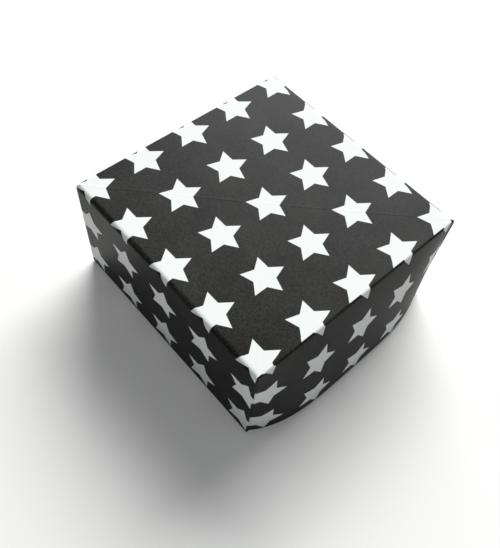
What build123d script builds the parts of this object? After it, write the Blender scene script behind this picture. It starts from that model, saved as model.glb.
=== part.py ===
"""A square box with a lift-off lid, each folded from one sheet of printed paper.

Both pieces are the traditional masu fold. All corners of a square sheet are folded to its
middle, the sides are raised, and the corner paper goes behind two of the four walls:

* side walls (+X and -X): two layers, the sheet and the corner flap folded back inside it
* end walls (+Y and -Y): six layers where the corner paper lies, two at the middle below it

The four flap points lie on the floor and meet at its middle. The lid is the same fold turned
upside down, from a slightly larger sheet.

Millimetres, +Z up. Origin: middle of the box, on the surface that it stands on.
"""
import os
from math import cos, hypot, pi, sqrt

from build123d import *

# the two sheets; the base's is trimmed so that the base slips into the lid
lid_sheet = 150.0       # side of the square sheet for the lid
slip_room = 0.38        # from each end wall of the base to the lid's inner layer
paper = 0.10            # thickness of the paper
air = 0.05              # air between two layers that lie on each other

# the creases, as outer radii
side_crease = 0.40      # floor to side wall
end_crease = 1.00       # floor to end wall, a softer bend
corner_turn = 0.65      # side wall round the upright corner, behind the end wall
lining_crease = 0.30    # inner layer of an end wall to its flap on the floor

# room between pieces of the same sheet that meet edge to edge
flap_room = 0.15        # from each flap's edge to the line where two flaps meet
gusset_room = 0.30      # from each gusset's point to the middle of the end wall
foot_room = 0.10        # from the floor crease up to the lowest tip of a gusset

# how far the side walls spring outwards along the middle of the rim
lid_bow_plus_x = 4.4
lid_bow_minus_x = 1.2
base_bow = 0.0
bow_stations = 15       # sections along a bowed wall, closer together towards its ends

# what follows from the paper alone
step = paper + air                  # from one layer's face to the same face of the next
hairpin = paper + air / 2           # outer radius of a crease folded flat on itself
end_wall_depth = 6 * paper + 5 * air
rim_roll = end_wall_depth / 2       # outer radius of the end wall's rim, round six layers

# half the side of each folded box, which is also the height of its walls
lid_half = lid_sheet / (4 * sqrt(2))
base_half = lid_half - end_wall_depth - slip_room


def bend(radius, start, sweep):
    """Section of one layer of paper round a crease at the sketch's origin."""
    outer = CenterArc((0, 0), radius, start, sweep)
    inner = CenterArc((0, 0), radius - paper, start, sweep)
    return make_face([outer, Line(outer @ 1, inner @ 1), inner, Line(inner @ 0, outer @ 0)])


def along_x(section, low, high):
    """Extrude a section drawn in Y and Z from x = low to x = high."""
    return extrude(Plane.YZ.offset(low) * section, high - low)


def along_y(section, low, high):
    """Extrude a section drawn in X and Z from y = low to y = high."""
    return extrude(Plane.XZ.offset(-high) * section, high - low)


def floor_plate(points, low):
    """A layer that lies flat, given its outline in X and Y and its lower face."""
    return extrude(Plane.XY.offset(low) * Polygon(*points, align=None), paper)


def end_layer(points, outer_face):
    """A layer of the +Y wall, given its outline in X and Z and its outer face."""
    return along_y(Polygon(*points, align=None), outer_face - paper, outer_face)


def both_ways(parts, plane):
    """The parts and their mirror images."""
    return parts + [mirror(part, plane) for part in parts]


def upright_hairpin(x_middle, y_middle, low, high):
    """A flat fold along an upright line, with its rounded edge towards +X."""
    section = Pos(x_middle, y_middle) * bend(hairpin, -90, 180)
    return extrude(Plane.XY.offset(low) * section, high - low)


def gusset(half, rim_centre):
    """The folded corner paper behind the +X half of the +Y wall, as a list of solids.

    Layer 1 continues the end wall round its upright edge, layer 2 the side wall. They meet
    at a crease that slopes from the bottom corner to the middle of the rim. Layer 3 is the
    side flap's corner and layer 4 the end flap's corner, both with a raw sloping edge.
    """
    foot = (half - hairpin, end_crease + foot_room)
    point = (gusset_room, rim_centre)
    rise = (point[1] - foot[1]) / (foot[0] - point[0])
    edge_by_layer = {
        1: half - hairpin,
        2: half - corner_turn,
        3: half - corner_turn,
        4: half - corner_turn - hairpin,
    }

    def slope_height(x):
        return foot[1] + (foot[0] - x) * rise

    parts = []
    for layer, edge in edge_by_layer.items():
        outline = [(edge, slope_height(edge)), (edge, rim_centre), point]
        parts.append(end_layer(outline, half - layer * step))

    # the creases over the rim, the smaller inside the larger
    for layer, edge in ((1, edge_by_layer[4]), (2, edge_by_layer[2])):
        roll = Pos(half - rim_roll, rim_centre) * bend(rim_roll - layer * step, 0, 180)
        parts.append(along_x(roll, gusset_room, edge))

    # the upright edges: end wall to layer 1, and layer 4 to the inner layer
    parts.append(upright_hairpin(foot[0], half - paper - air / 2, foot[1], rim_centre))
    lining_edge = edge_by_layer[4]
    lining_middle = half - 4 * step - paper - air / 2
    parts.append(upright_hairpin(lining_edge, lining_middle, slope_height(lining_edge), rim_centre))

    # the sloping crease between layers 1 and 2
    start = (edge_by_layer[2], slope_height(edge_by_layer[2]))
    run = (start[0] - point[0], point[1] - start[1])
    length = hypot(*run)
    along = (-run[0] / length, 0, run[1] / length)
    down = (-run[1] / length, 0, -run[0] / length)
    crease_plane = Plane((start[0], half - step - paper - air / 2, start[1]), x_dir=down, z_dir=along)
    parts.append(extrude(crease_plane * bend(hairpin, -90, 180), length))
    return parts


def end_wall(half):
    """The +Y wall: outer layer, gussets, rim, inner layer and its flap on the floor."""
    rim_centre = half - rim_roll
    outer_half = half - hairpin
    lining_half = half - corner_turn - hairpin
    lining_face = half - 5 * step
    flap_start = lining_face - lining_crease
    flap_half = flap_start - flap_room
    lining_foot = step + lining_crease

    outer = [
        (-outer_half, end_crease),
        (outer_half, end_crease),
        (outer_half, rim_centre),
        (-outer_half, rim_centre),
    ]
    lining = [
        (-lining_half, lining_foot),
        (lining_half, lining_foot),
        (lining_half, rim_centre),
        (-lining_half, rim_centre),
    ]
    floor_bend = Pos(half - end_crease, end_crease) * bend(end_crease, -90, 90)
    lining_bend = Pos(flap_start, lining_foot) * bend(lining_crease, -90, 90)
    rim = Pos(half - rim_roll, rim_centre) * bend(rim_roll, 0, 180)
    lip = Pos(half - rim_roll, rim_centre) * bend(rim_roll, 0, 90)
    flap = [(-flap_half, flap_start), (0, flap_room), (flap_half, flap_start)]

    parts = [
        end_layer(outer, half),
        end_layer(lining, lining_face),
        along_x(floor_bend, -outer_half, outer_half),
        along_x(lining_bend, -flap_half, flap_half),
        along_x(rim, -lining_half, lining_half),
        floor_plate(flap, step),
    ]
    parts += both_ways([along_x(lip, lining_half, outer_half)], Plane.YZ)
    parts += both_ways(gusset(half, rim_centre), Plane.YZ)
    return parts


def side_section(half, foot, bow):
    """Section in X and Z of the two layers of the +X wall and the crease that joins them."""
    top = half - rim_roll
    inner = 2 * paper + air
    outer_line = Line((half, foot), (half + bow, top))
    outer_roll = CenterArc((half + bow - hairpin, top), hairpin, 0, 180)
    lining_line = Line((half + bow - inner, top), (half - inner, foot))
    lining_foot = Line((half - inner, foot), (half - inner + paper, foot))
    lining_back = Line((half - inner + paper, foot), (half + bow - inner + paper, top))
    inner_roll = CenterArc((half + bow - hairpin, top), hairpin - paper, 0, 180)
    outer_back = Line((half + bow - paper, top), (half - paper, foot))
    outer_foot = Line((half - paper, foot), (half, foot))
    outer_layer = [outer_line, outer_roll, outer_back, outer_foot]
    lining_layer = [lining_line, lining_foot, lining_back, inner_roll]
    return make_face(outer_layer + lining_layer)


def bowed_wall(half, wall_half, bow):
    """The upright layers of the +X wall, sprung outwards along the rim but not at its ends."""
    sections = []
    for station in range(bow_stations):
        along = -cos(pi * station / (bow_stations - 1))
        fullness = (1 - along ** 6) ** 2
        section = side_section(half, side_crease, bow * fullness)
        sections.append(Plane.XZ.offset(-wall_half * along) * section)
    return loft(sections)


def side_wall(half, bow):
    """The +X wall: two layers, the flap on the floor, and both turns behind the end walls."""
    wall_half = half - 2 * step - corner_turn
    crease_half = half - end_crease
    if bow:
        wall = bowed_wall(half, wall_half, bow)
    else:
        wall = along_y(side_section(half, side_crease, 0), -wall_half, wall_half)

    flap_start = half - side_crease
    flap = [
        (flap_start, -crease_half),
        (flap_start, crease_half),
        (crease_half + flap_room, crease_half),
        (flap_room, 0),
        (crease_half + flap_room, -crease_half),
    ]
    parts = [wall, floor_plate(flap, step)]
    for radius in (side_crease, side_crease - step):
        crease = Pos(flap_start, side_crease) * bend(radius, -90, 90)
        parts.append(along_y(crease, -crease_half, crease_half))

    upright = Axis((half - corner_turn, wall_half, 0), (0, 0, 1))
    section = Plane.XZ.offset(-wall_half) * side_section(half, end_crease + foot_room, 0)
    parts += both_ways([revolve(section, upright, 90)], Plane.XZ)
    return parts


def folded_box(half, bow_plus_x, bow_minus_x):
    """One folded sheet as one solid, standing open side up with its floor at z = 0."""
    panel = [
        (half - side_crease, half - end_crease),
        (side_crease - half, half - end_crease),
        (side_crease - half, end_crease - half),
        (half - side_crease, end_crease - half),
    ]
    parts = [floor_plate(panel, 0)]
    parts += both_ways(end_wall(half), Plane.XZ)
    parts += side_wall(half, bow_plus_x)
    parts += [mirror(part, Plane.YZ) for part in side_wall(half, bow_minus_x)]
    return parts[0].fuse(*parts[1:])


base = folded_box(base_half, base_bow, base_bow)
turned_over = Pos(0, 0, lid_half) * Rot(180, 0, 0)
lid = turned_over * folded_box(lid_half, lid_bow_plus_x, lid_bow_minus_x)

os.makedirs("parts", exist_ok=True)
for name, piece in {"base": base, "lid": lid}.items():
    export_step(piece, f"parts/{name}.step")
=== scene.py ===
from math import atan, cos, pi, radians, sin, sqrt, tau

import bmesh
import bpy
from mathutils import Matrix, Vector


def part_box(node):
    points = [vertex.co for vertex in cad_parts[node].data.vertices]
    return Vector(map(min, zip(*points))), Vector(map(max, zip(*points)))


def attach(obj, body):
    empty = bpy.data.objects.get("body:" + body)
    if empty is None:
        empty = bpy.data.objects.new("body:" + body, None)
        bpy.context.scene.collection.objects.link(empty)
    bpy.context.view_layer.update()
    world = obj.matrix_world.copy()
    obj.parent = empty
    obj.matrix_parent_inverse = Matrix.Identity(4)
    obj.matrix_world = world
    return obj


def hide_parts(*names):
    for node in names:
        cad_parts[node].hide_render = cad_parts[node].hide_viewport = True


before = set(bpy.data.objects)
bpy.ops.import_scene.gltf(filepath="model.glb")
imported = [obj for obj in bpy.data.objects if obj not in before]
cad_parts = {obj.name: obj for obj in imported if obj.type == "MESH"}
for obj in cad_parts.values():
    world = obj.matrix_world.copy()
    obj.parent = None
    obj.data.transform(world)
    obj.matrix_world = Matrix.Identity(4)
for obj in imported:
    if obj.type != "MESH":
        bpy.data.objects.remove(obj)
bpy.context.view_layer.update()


# --- Lid -------------------------------------------------------------------------------------
# One 150 mm square sheet of thin origami paper, folded as a masu and turned upside down. One
# face is matt black with rows of pale stars, the other is bare and lies hidden in the layers.
# Creases are bends of the paper's own radius, and layers lie a paper and a little air apart.

PAPER = 0.10e-3                 # thickness
STEP = 0.15e-3                  # from one layer's middle to the next
SIDE_BEND = 0.35e-3             # middle radius of the crease between floor and side wall
END_BEND = 0.95e-3              # the same at an end wall, softer
INNER_BEND = 0.22e-3            # inner layers to their flaps on the floor
CORNER_BEND = 0.60e-3           # side wall round the upright corner
END_RIM = 2.5 * STEP            # middle radius of an end wall's rim, over the layers inside it
FLAP_ROOM = 0.25e-3             # from a flap's tip to the middle of the floor
RIM_PLAY = 2e-3                 # past the rim by this, an end wall's lining is held by the corners
EDGE_TURN = STEP / 2 * pi / 2   # paper used by the turn from an end wall into its gusset
BULGE = 0.7 / 4.4               # a sprung wall's extra bulge at half height, as a share of the spring
SCORES = 22                     # plain score lines in half the floor
SAME_PLACE = 1e-6               # two places on the flat sheet nearer than this are one


def bend_points(at, middle, radius, start, sweep, count):
    """Stations round a crease: (place on the sheet, out, up), with the crease at `at`."""
    half_width = radius * abs(sweep) / 2
    points = []
    for number in range(count + 1):
        share = number / count
        turned = start + sweep * share
        out = middle[0] + radius * cos(turned)
        points.append((at + half_width * (2 * share - 1), out, middle[1] + radius * sin(turned)))
    return points


def wall_stations(half, floor_bend, rim_bend, rim_centre, inset):
    """One wall's section, from the middle of the floor out, up, over the rim and back in."""
    face = half - PAPER / 2
    start = (0.0, 0.0, PAPER / 2 + inset)
    floor_middle = (face - floor_bend, PAPER / 2 + floor_bend)
    floor = bend_points(half, floor_middle, floor_bend - inset, -pi / 2, pi / 2, 6)
    rim_middle = (face - rim_bend, rim_centre)
    count = 8 if rim_bend > STEP else 4
    rim = bend_points(2 * half, rim_middle, rim_bend - inset, 0, pi, count)
    lining = face - 2 * rim_bend + inset
    foot_middle = (lining - INNER_BEND, PAPER / 2 + STEP + INNER_BEND)
    foot = bend_points(3 * half, foot_middle, INNER_BEND, 0, -pi / 2, 4)
    tip = (4 * half, FLAP_ROOM, PAPER / 2 + STEP)
    return [start] + floor + rim + foot + [tip]


def section_place(stations, distance):
    """Out and up at a distance along a section."""
    for before, after in zip(stations, stations[1:]):
        if distance <= after[0]:
            break
    share = min(max((distance - before[0]) / (after[0] - before[0]), 0), 1)
    return [before[n] + (after[n] - before[n]) * share for n in (1, 2)]


def spring(share, skew):
    """How far a side wall has sprung out along its rim, 0 at both ends, about 1 between."""
    return (1 - abs(share) ** 4) * (1 + skew * share)


class MasuFold:
    """Where each point of a flat sheet goes in a masu box of this half side."""

    def __init__(self, half, springs, swell, sag):
        self.half = half
        self.springs = springs          # how far the +X and -X walls spring out, and their skew
        self.swell = swell              # how far each end wall swells at half its height
        self.sag = sag                  # how far the floor panel gives at its middle
        rim = half - PAPER / 2 - END_RIM
        self.end = wall_stations(half, END_BEND, END_RIM, rim, 0)
        self.end_inner = wall_stations(half, END_BEND, END_RIM, rim, STEP)
        self.side = wall_stations(half, SIDE_BEND, STEP / 2, rim, 0)

    def place(self, u, v):
        """The folded place of the sheet's point (u, v), open side up."""
        p, q = abs(u), abs(v)
        sign_x = -1 if u < 0 else 1
        sign_y = -1 if v < 0 else 1
        if max(p, q) < self.half - END_BEND * 0.8:
            x, y, z = p, q, PAPER / 2
        elif p > q:
            x, y, z = self.side_layer(p, q, sign_x, sign_y)
        else:
            x, y, z = self.end_layer(p, q)
        on_floor = max(p, q) <= self.half or max(p, q) >= 3 * self.half
        if on_floor and max(x, y) < self.half:
            z += self.sag * (1 - (x / self.half) ** 2) * (1 - (y / self.half) ** 2)
        return x * sign_x, y * sign_y, z

    def swelling(self, x, up):
        """How far an end wall stands out at this place, all its layers together."""
        rise = min(max(up / self.half, 0), 1)
        return self.swell * 4 * rise * (1 - rise) * (1 - min(abs(x) / self.half, 1) ** 4)

    def end_layer(self, p, q):
        """An end wall: outside to inside over the rim, and its corner paper turned in."""
        h = self.half
        out, up = section_place(self.end, q)
        edge = h - PAPER / 2 - STEP / 2
        if q > 2 * h + RIM_PLAY:
            edge = h - CORNER_BEND - STEP
        x = p * edge / (h - EDGE_TURN)
        if p > h - EDGE_TURN and q > h:
            turned = min((p - h + EDGE_TURN) / (STEP / 2), pi)
            x = edge + STEP / 2 * sin(turned) - max(p - h - EDGE_TURN, 0)
            inset = (1 - cos(turned)) / 2
            inner_out, inner_up = section_place(self.end_inner, q)
            out += (inner_out - out) * inset
            up += (inner_up - up) * inset
        return x, out + self.swelling(x, up), up

    def side_layer(self, p, q, sign_x, sign_y):
        """A side wall: both layers, and their ends turned behind the end walls."""
        h = self.half
        out, up = section_place(self.side, p)
        reach, skew = self.springs[0 if sign_x > 0 else 1]
        rise = min(max(up / h, 0), 1)
        pull = reach * rise + BULGE * reach * 4 * rise * (1 - rise)
        if p > 3 * h:
            pull = 0
        depth = h - PAPER / 2 - out
        slant = atan(4 * pull / h)
        centre_y = h - PAPER / 2 - 2 * STEP - CORNER_BEND
        centre_x = h - PAPER / 2 - CORNER_BEND * cos(slant)
        flat = h - CORNER_BEND * pi / 4
        if p < h or p > 3 * h or q <= flat:
            end_y = centre_y + CORNER_BEND * sin(slant)
            bow = pull * spring(min(q / flat, 1) * sign_y, skew)
            narrowing = end_y / flat if h < p <= 3 * h else 1
            if p > 3 * h:
                narrowing = 1 - (END_BEND + FLAP_ROOM) / h
            return out + bow, q * narrowing, up * cos(atan(bow / h))
        past_flat = (q - flat) / (CORNER_BEND * pi / 2)
        turned = min(slant + past_flat * (pi / 2 - slant), pi / 2)
        x = centre_x + (CORNER_BEND - depth) * cos(turned)
        y = centre_y + (CORNER_BEND - depth) * sin(turned)
        x -= max(q - flat - CORNER_BEND * pi / 2, 0)
        return x, y + self.swelling(x, up), up


def score_lines(half):
    """Distances from the middle of the sheet at which it is scored, both ways and both sides."""
    fold = MasuFold(half, ((0, 0), (0, 0)), 0, 0)
    lines = {round(station[0], 7) for station in fold.end + fold.side if station[0] > 0}
    lines |= {round(half - EDGE_TURN + EDGE_TURN * n / 2, 7) for n in range(5)}
    first = half - CORNER_BEND * pi / 4
    lines |= {round(first + CORNER_BEND * pi / 2 * n / 6, 7) for n in range(7)}
    lines |= {round(half / SCORES * n, 7) for n in range(1, 4 * SCORES)}
    kept = []
    for line in sorted(lines):
        if not kept or line - kept[-1] > PAPER / 4:
            kept.append(line)
    return [line for line in kept if line < 4 * half - PAPER]


def on_diagonal(place):
    return abs(abs(place.x) - abs(place.y)) < SAME_PLACE


def fold_sheet(name, fold, upside_down, height):
    """Score a flat sheet, lay every point where the fold puts it, and give it thickness."""
    half = fold.half
    bpy.ops.object.select_all(action="DESELECT")
    bpy.ops.mesh.primitive_plane_add(size=4 * sqrt(2) * half, rotation=(0, 0, radians(45)))
    piece = bpy.context.object
    piece.name = piece.data.name = name
    bpy.ops.object.transform_apply(location=True, rotation=True, scale=True)
    bpy.ops.object.mode_set(mode="EDIT")
    cuts = [0.0]
    for line in score_lines(half):
        cuts += [line, -line]
    for normal in ((1, 0, 0), (0, 1, 0)):
        for cut in cuts:
            bpy.ops.mesh.select_all(action="SELECT")
            bpy.ops.mesh.bisect(plane_co=[n * cut for n in normal], plane_no=normal)
    for normal in ((1, 1, 0), (1, -1, 0)):
        bpy.ops.mesh.select_all(action="SELECT")
        bpy.ops.mesh.bisect(plane_co=(0, 0, 0), plane_no=normal)
    bpy.ops.object.mode_set(mode="OBJECT")

    shape = bmesh.new()
    shape.from_mesh(piece.data)
    # the print follows the flat sheet, so each point keeps its place from before the folding
    sheet_place = shape.verts.layers.float_vector.new("sheet")
    for point in shape.verts:
        point[sheet_place] = point.co
    # the two triangles of each corner square lie a layer apart, so the sheet parts there
    beyond = [
        edge for edge in shape.edges
        if all(on_diagonal(v.co) and abs(v.co.x) > half - SAME_PLACE for v in edge.verts)
    ]
    bmesh.ops.split_edges(shape, edges=beyond)
    flat_places = []
    for point in shape.verts:
        u, v = point.co.x, point.co.y
        middles = [face.calc_center_median() for face in point.link_faces]
        middle = sum(middles, Vector()) / len(middles)
        if on_diagonal(point.co) and abs(u) > half:
            u *= 1 + (SAME_PLACE if abs(middle.x) > abs(middle.y) else -SAME_PLACE)
        flat_places.append((u, v))
    for point, (u, v) in zip(shape.verts, flat_places):
        x, y, z = fold.place(u, v)
        point.co = (x, y, height - z if upside_down else z)
    if not upside_down:
        bmesh.ops.reverse_faces(shape, faces=shape.faces)
    shape.to_mesh(piece.data)
    shape.free()

    piece.data.materials.append(printed)
    piece.data.materials.append(bare)
    thickness = piece.modifiers.new("paper", "SOLIDIFY")
    thickness.thickness = PAPER
    thickness.offset = 0
    thickness.material_offset = 1
    thickness.material_offset_rim = 1
    bpy.ops.object.modifier_apply(modifier=thickness.name)
    bpy.ops.object.shade_smooth_by_angle(angle=radians(35))
    return piece


STAR_PITCH = 12.02e-3           # from one star to the next, both ways
STAR_REACH = 0.364              # centre to tip, as a share of the pitch
STAR_WAIST = 0.514              # centre to notch, as a share of the reach
STAR_TURN = radians(9)          # a tip's direction from +X
STAR_SHIFT = (0.5 - 0.0175, 0.5 - 0.0045)   # the print's place on the sheet, in pitches
STAR_EDGE = (-0.004, 0.006)     # softness of a star's outline, in pitches
INK = (0.0065, 0.007, 0.0058, 1)
INK_WORN = (0.025, 0.0265, 0.0235, 1)
STAR_WHITE = (0.80, 0.83, 0.81, 1)
BARE_DARK = (0.76, 0.76, 0.73, 1)
BARE_LIGHT = (0.82, 0.82, 0.79, 1)
PAPER_GLOSS = 0.08
FOLD_MARK = 0.5e-3              # half width of the marks left by folding the sheet in half
FIBRE_RELIEF = 0.010            # heights of the paper's relief, in millimetres
WAVE_RELIEF = 0.12
MARK_RELIEF = 0.010


class Wire:
    """A shader socket that sums can be written with; each sum adds its Math node."""

    def __init__(self, tree, socket):
        self.tree = tree
        self.socket = socket

    def node(self, kind, inputs, output=0, **settings):
        """Add any node, its settings first, then the values or wires of its sockets."""
        made = self.tree.nodes.new(kind)
        for name, value in settings.items():
            setattr(made, name, value)
        for key, value in inputs.items():
            if isinstance(value, Wire):
                self.tree.links.new(value.socket, made.inputs[key])
            else:
                made.inputs[key].default_value = value
        return Wire(self.tree, made.outputs[output])

    def math(self, operation, *values):
        return self.node("ShaderNodeMath", dict(enumerate(values)), operation=operation)

    def __add__(self, other):
        return self.math("ADD", self, other)

    def __sub__(self, other):
        return self.math("SUBTRACT", self, other)

    def __rsub__(self, other):
        return self.math("SUBTRACT", other, self)

    def __mul__(self, other):
        return self.math("MULTIPLY", self, other)

    def __truediv__(self, other):
        return self.math("DIVIDE", self, other)

    def __abs__(self):
        return self.math("ABSOLUTE", self)

    __radd__ = __add__
    __rmul__ = __mul__

    def step(self, low, high):
        """0 below low and 1 above high, smooth between."""
        limits = {"Value": self, "From Min": low, "From Max": high}
        return self.node("ShaderNodeMapRange", limits, interpolation_type="SMOOTHSTEP")

    def blend(self, low, high):
        """The colour low where this is 0, and high where it is 1."""
        return self.node("ShaderNodeMix", {0: self, 6: low, 7: high}, output=2, data_type="RGBA")

    def noise(self, scale, detail):
        """Noise at the places that this wire gives."""
        return self.node("ShaderNodeTexNoise", {"Vector": self, "Scale": scale, "Detail": detail})

    def plug(self, shader, name):
        self.tree.links.new(self.socket, shader.inputs[name])


def new_paper(name, roughness):
    """A paper material, its shader, and a wire that gives places on the object."""
    material = bpy.data.materials.new(name)
    material.use_nodes = True
    tree = material.node_tree
    shader = tree.nodes["Principled BSDF"]
    shader.inputs["Roughness"].default_value = roughness
    shader.inputs["Specular IOR Level"].default_value = PAPER_GLOSS
    place = tree.nodes.new("ShaderNodeTexCoord")
    return material, shader, Wire(tree, place.outputs["Object"])


def star_mask(sheet_x, sheet_y):
    """1 inside a star. The side of a star's point is a straight line from tip to notch."""
    across = sheet_x / STAR_PITCH + STAR_SHIFT[0]
    along = sheet_y / STAR_PITCH + STAR_SHIFT[1]
    x = across.math("FRACT", across) - 0.5
    y = along.math("FRACT", along) - 0.5
    reach = x.math("SQRT", x * x + y * y)
    turns = (x.math("ARCTAN2", y, x) - STAR_TURN) / (tau / 5) + 0.5
    angle = abs(turns.math("FRACT", turns) - 0.5) * (tau / 5)
    run_x = STAR_REACH * STAR_WAIST * cos(pi / 5) - STAR_REACH
    run_y = STAR_REACH * STAR_WAIST * sin(pi / 5)
    length = sqrt(run_x ** 2 + run_y ** 2)
    beside = (reach * angle.math("COSINE", angle) - STAR_REACH) * (run_y / length)
    outside = beside - reach * angle.math("SINE", angle) * (run_x / length)
    return 1 - outside.step(*STAR_EDGE)


printed, ink_shader, place = new_paper("printed_paper", 0.62)
sheet = place.node("ShaderNodeAttribute", {}, output="Vector", attribute_name="sheet")
sheet_x = sheet.node("ShaderNodeSeparateXYZ", {0: sheet}, output="X")
sheet_y = sheet.node("ShaderNodeSeparateXYZ", {0: sheet}, output="Y")
star = star_mask(sheet_x, sheet_y)
fibre = place.noise(2600.0, 3.0)
cloud = place.noise(130.0, 4.0)
worn = (fibre * 0.75 + cloud * 0.35).step(0.40, 0.74)
star.blend(worn.blend(INK, INK_WORN), STAR_WHITE).plug(ink_shader, "Base Color")
(0.36 + star * 0.25 + fibre * 0.1).plug(ink_shader, "Roughness")
waves = place.noise(55.0, 1.0)
marks = 2 - sum(abs(side).step(0, FOLD_MARK) for side in (sheet_x - sheet_y, sheet_x + sheet_y))
height = fibre * FIBRE_RELIEF + waves * WAVE_RELIEF + marks * MARK_RELIEF
relief = place.node("ShaderNodeBump", {"Strength": 1.0, "Distance": 1e-3, "Height": height})
relief.plug(ink_shader, "Normal")

bare, bare_shader, place = new_paper("bare_paper", 0.75)
fibre = place.noise(2200.0, 3.0)
fibre.step(0.3, 0.7).blend(BARE_DARK, BARE_LIGHT).plug(bare_shader, "Base Color")
relief = place.node("ShaderNodeBump", {"Strength": 0.2, "Distance": 4e-5, "Height": fibre})
relief.plug(bare_shader, "Normal")

BOX_ROOM = 0.02e-3              # the folded sheet stays this far inside the solid that it replaces
LID_SPRINGS = ((4.2e-3, -0.06), (1.0e-3, 0))
lid_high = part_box("lid")[1]
lid_fold = MasuFold(lid_high.y - BOX_ROOM, LID_SPRINGS, swell=-0.15e-3, sag=0.25e-3)
lid = fold_sheet("folded_lid", lid_fold, True, lid_high.z - BOX_ROOM / 2)
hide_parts("lid")
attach(lid, "lid")


# --- Base ------------------------------------------------------------------------------------
# The same fold from a sheet trimmed a little smaller, standing open side up inside the lid.
# It is pressed flatter than the lid: its walls stay straight so that the lid slides over them.

BASE_SPRINGS = ((0.2e-3, 0), (0.2e-3, 0))
base_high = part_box("base")[1]
base_fold = MasuFold(base_high.y - BOX_ROOM, BASE_SPRINGS, swell=-0.1e-3, sag=0)
base = fold_sheet("folded_base", base_fold, False, base_high.z)
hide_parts("base")
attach(base, "base")


# --- Table top, window and camera ------------------------------------------------------------
# A plain pale table top that runs out of sight, a broad soft window light from behind and to
# the right, a faint fill from the room, and a camera that looks down on the near corner.

TABLE_COLOUR = (0.82, 0.82, 0.80, 1)
TABLE_GLOW = (1, 1, 0.98, 1)    # seen by the camera alone
WINDOW_PLACE = Vector((-0.80, 1.35, 1.25))
ROOM_COLOUR = (0.95, 0.97, 1, 1)

bpy.ops.object.select_all(action="DESELECT")
bpy.ops.mesh.primitive_plane_add(size=6, location=(0, 0, -0.0001))
table = bpy.context.object
table.name = "table_top"
bpy.ops.object.transform_apply(location=True, rotation=True, scale=True)
table_paint = bpy.data.materials.new("table_top")
table_paint.use_nodes = True
table_tree = table_paint.node_tree
table_shader = table_tree.nodes["Principled BSDF"]
table_shader.inputs["Base Color"].default_value = TABLE_COLOUR
table_shader.inputs["Roughness"].default_value = 0.85
table_shader.inputs["Emission Strength"].default_value = 0.08
seen = Wire(table_tree, table_tree.nodes.new("ShaderNodeLightPath").outputs["Is Camera Ray"])
seen.blend((0, 0, 0, 1), TABLE_GLOW).plug(table_shader, "Emission Color")
table.data.materials.append(table_paint)

window = bpy.data.lights.new("window", "AREA")
window.shape = "RECTANGLE"
window.size = 1.7
window.size_y = 1.1
window.energy = 70
window_lamp = bpy.data.objects.new("window", window)
bpy.context.scene.collection.objects.link(window_lamp)
window_lamp.location = WINDOW_PLACE
window_lamp.rotation_euler = (-WINDOW_PLACE).to_track_quat("-Z", "Y").to_euler()

room = bpy.data.worlds.new("room")
bpy.context.scene.world = room
room.use_nodes = True
room.node_tree.nodes["Background"].inputs["Color"].default_value = ROOM_COLOUR
room.node_tree.nodes["Background"].inputs["Strength"].default_value = 0.22

eye = bpy.data.cameras.new("camera")
eye.lens = 41.476
eye.sensor_width = 36
eye.clip_start = 0.005
camera = bpy.data.objects.new("camera", eye)
bpy.context.scene.collection.objects.link(camera)
camera.location = (0.05155, -0.05968, 0.12298)
camera.rotation_euler = (radians(32.421), radians(-4.173), radians(48.403))
bpy.context.scene.camera = camera
bpy.context.scene.view_settings.view_transform = "Standard"
